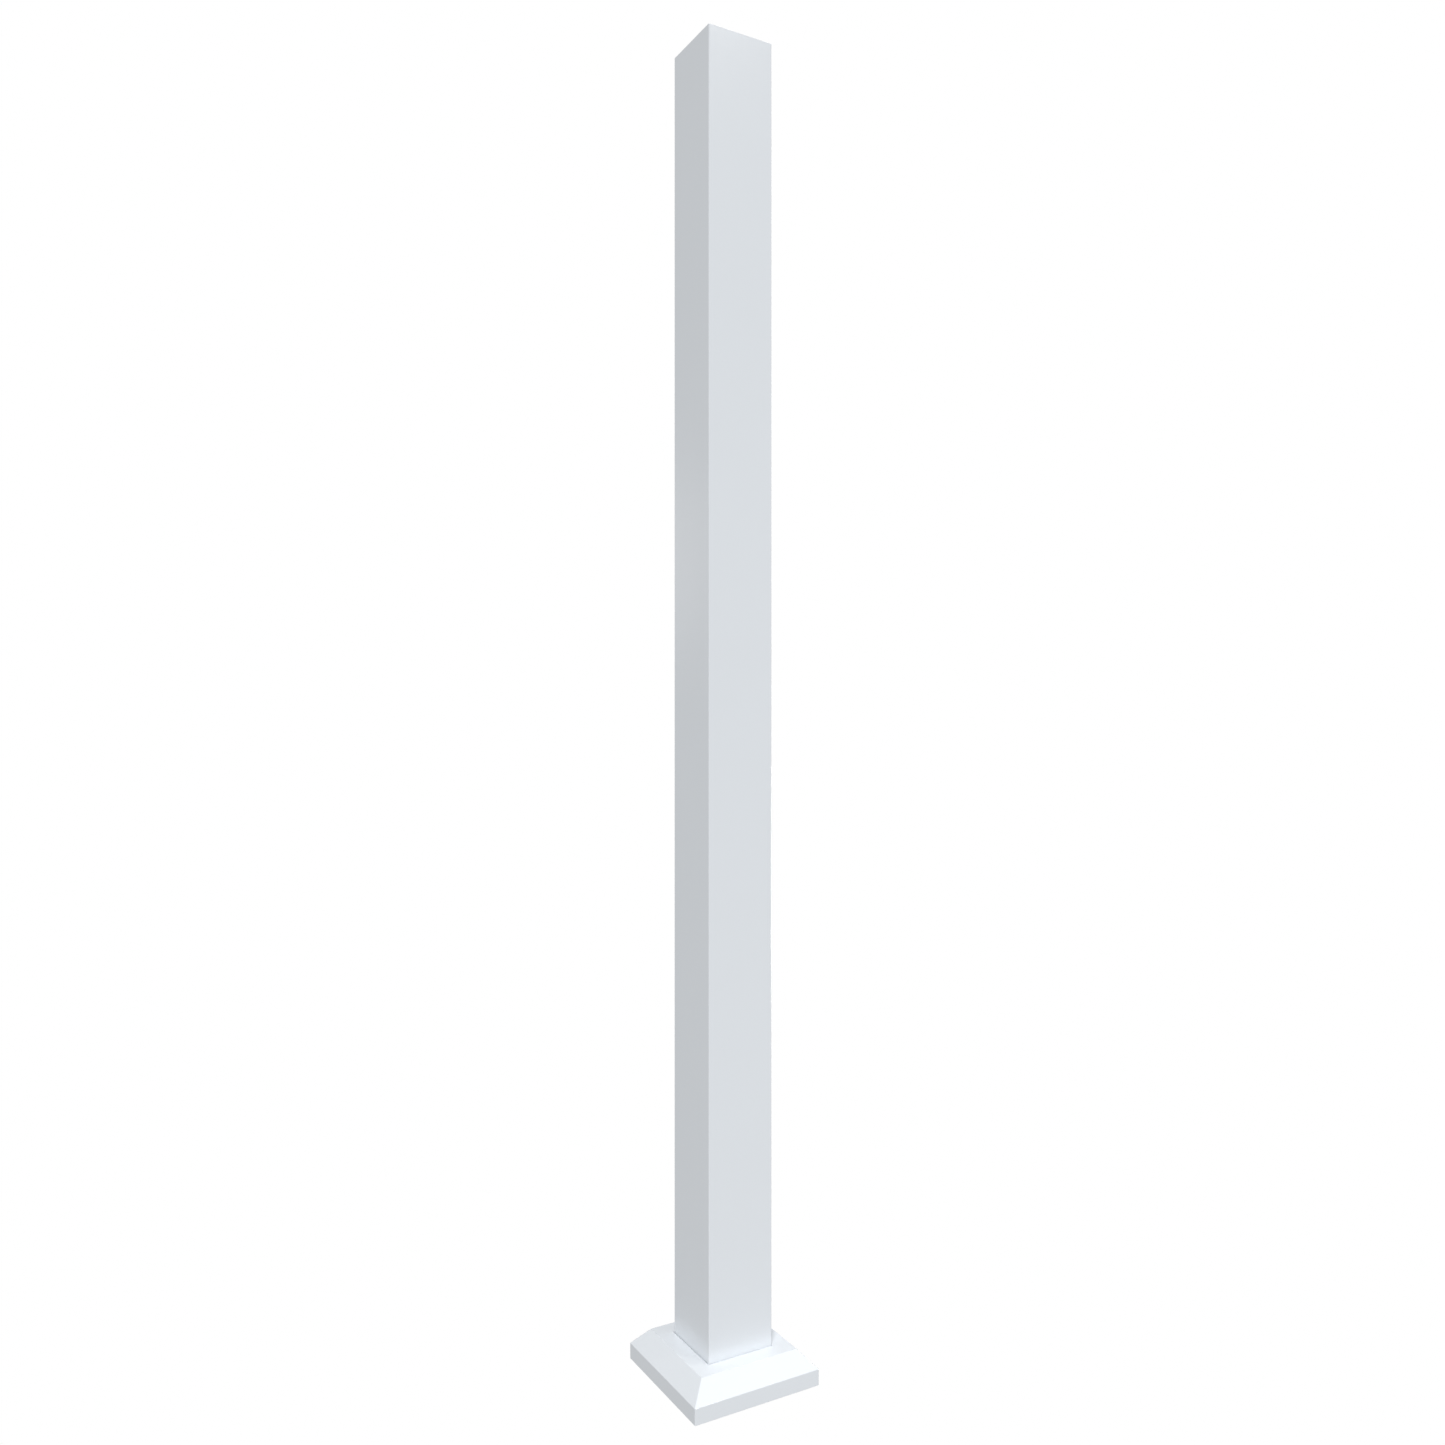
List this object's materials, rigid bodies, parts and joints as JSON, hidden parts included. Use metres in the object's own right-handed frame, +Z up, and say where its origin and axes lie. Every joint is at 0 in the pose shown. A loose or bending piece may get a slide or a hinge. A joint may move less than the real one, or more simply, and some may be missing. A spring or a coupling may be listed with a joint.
{
  "type": "deck post",
  "caption": "White powder-coated square aluminium deck railing post with a welded foot plate, and a sloped square base skirt that covers the plate.",
  "frame": {"origin": "on the deck, in the middle of the post's underside", "axes": "+Z up along the post; X and Y across its faces"},
  "size_m": [0.0984, 0.0984, 0.9398],
  "materials": {
    "post_coat": "satin",
    "skirt_coat": "satin"
  },
  "bodies": {
    "root": {"post": "post_coat", "base_skirt": "skirt_coat"}
  },
  "joints": []
}
